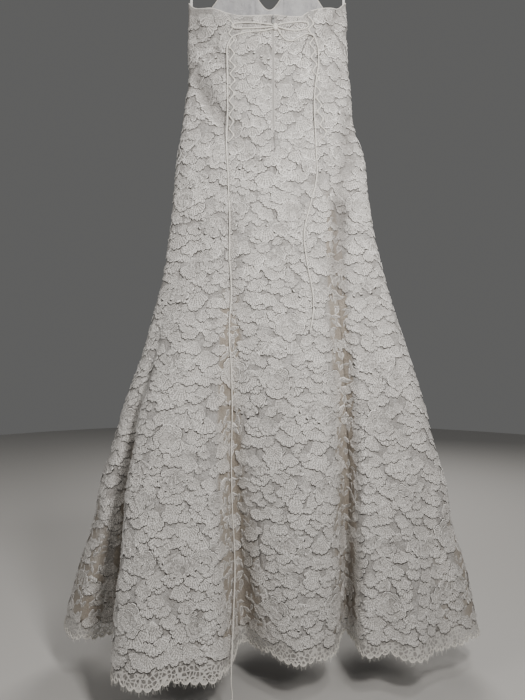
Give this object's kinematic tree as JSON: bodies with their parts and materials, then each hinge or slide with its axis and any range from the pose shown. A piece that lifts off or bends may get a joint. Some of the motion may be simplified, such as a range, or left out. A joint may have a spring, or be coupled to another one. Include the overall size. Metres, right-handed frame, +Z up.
{
  "type": "wedding dress on a hanger",
  "caption": "Strapless ivory lace wedding gown, fitted above and flared into deep folds at the hem, hung by two ribbon loops from a plain hanger.",
  "frame": {"origin": "the inside of the hook's top, where a rail carries it", "axes": "+Z up, -Y the gown's back, which the picture shows, +X the right-hand side seen from the back"},
  "size_m": [0.9307, 0.3731, 1.6698],
  "materials": {
    "lace": "ivory corded lace on net over satin, matt with a raised shiny cord",
    "satin": "smooth white satin, soft sheen",
    "ribbon": "narrow white satin ribbon",
    "cord": "cream satin cord, soft sheen",
    "zip_cover": "woven ivory strip over a hidden zip",
    "zip_metal": "small pale metal slider and tab",
    "hook_metal": "bright steel wire",
    "wood": "pale varnished wood"
  },
  "bodies": {
    "gown": {"panel_back_side_left": "lace", "panel_back_centre_left": "lace", "panel_back_centre_right": "lace", "panel_back_side_right": "lace", "panel_front_side_right": "lace", "panel_front_right": "lace", "panel_front_centre": "lace", "panel_front_left": "lace", "panel_front_side_left": "lace", "hem_lace_back": "lace", "hem_lace_front": "lace", "cup_right": "satin", "cup_left": "satin", "lacing_left_placket": "satin", "lacing_left_cord": "cord", "lacing_right_placket": "satin", "lacing_right_cord": "cord", "zip_strip": "zip_cover", "zip_slider": "zip_metal", "bow_loop_left": "cord", "bow_loop_right": "cord", "tail_left": "cord", "tail_right": "cord", "bow_knot": "cord", "hanger_bar": "wood", "hanger_hook": "hook_metal", "hanger_ribbon_left": "ribbon", "hanger_ribbon_right": "ribbon"},
    "pull_tab": {"zip_pull_tab": "zip_metal"}
  },
  "joints": [
    {"name": "pull_tab_hinge", "type": "hinge", "parent": "gown", "child": "pull_tab", "pos_m": [0.00664, -0.04418, -0.26638], "axis": [-1, 0, 0], "range_deg": [0, 150]}
  ]
}
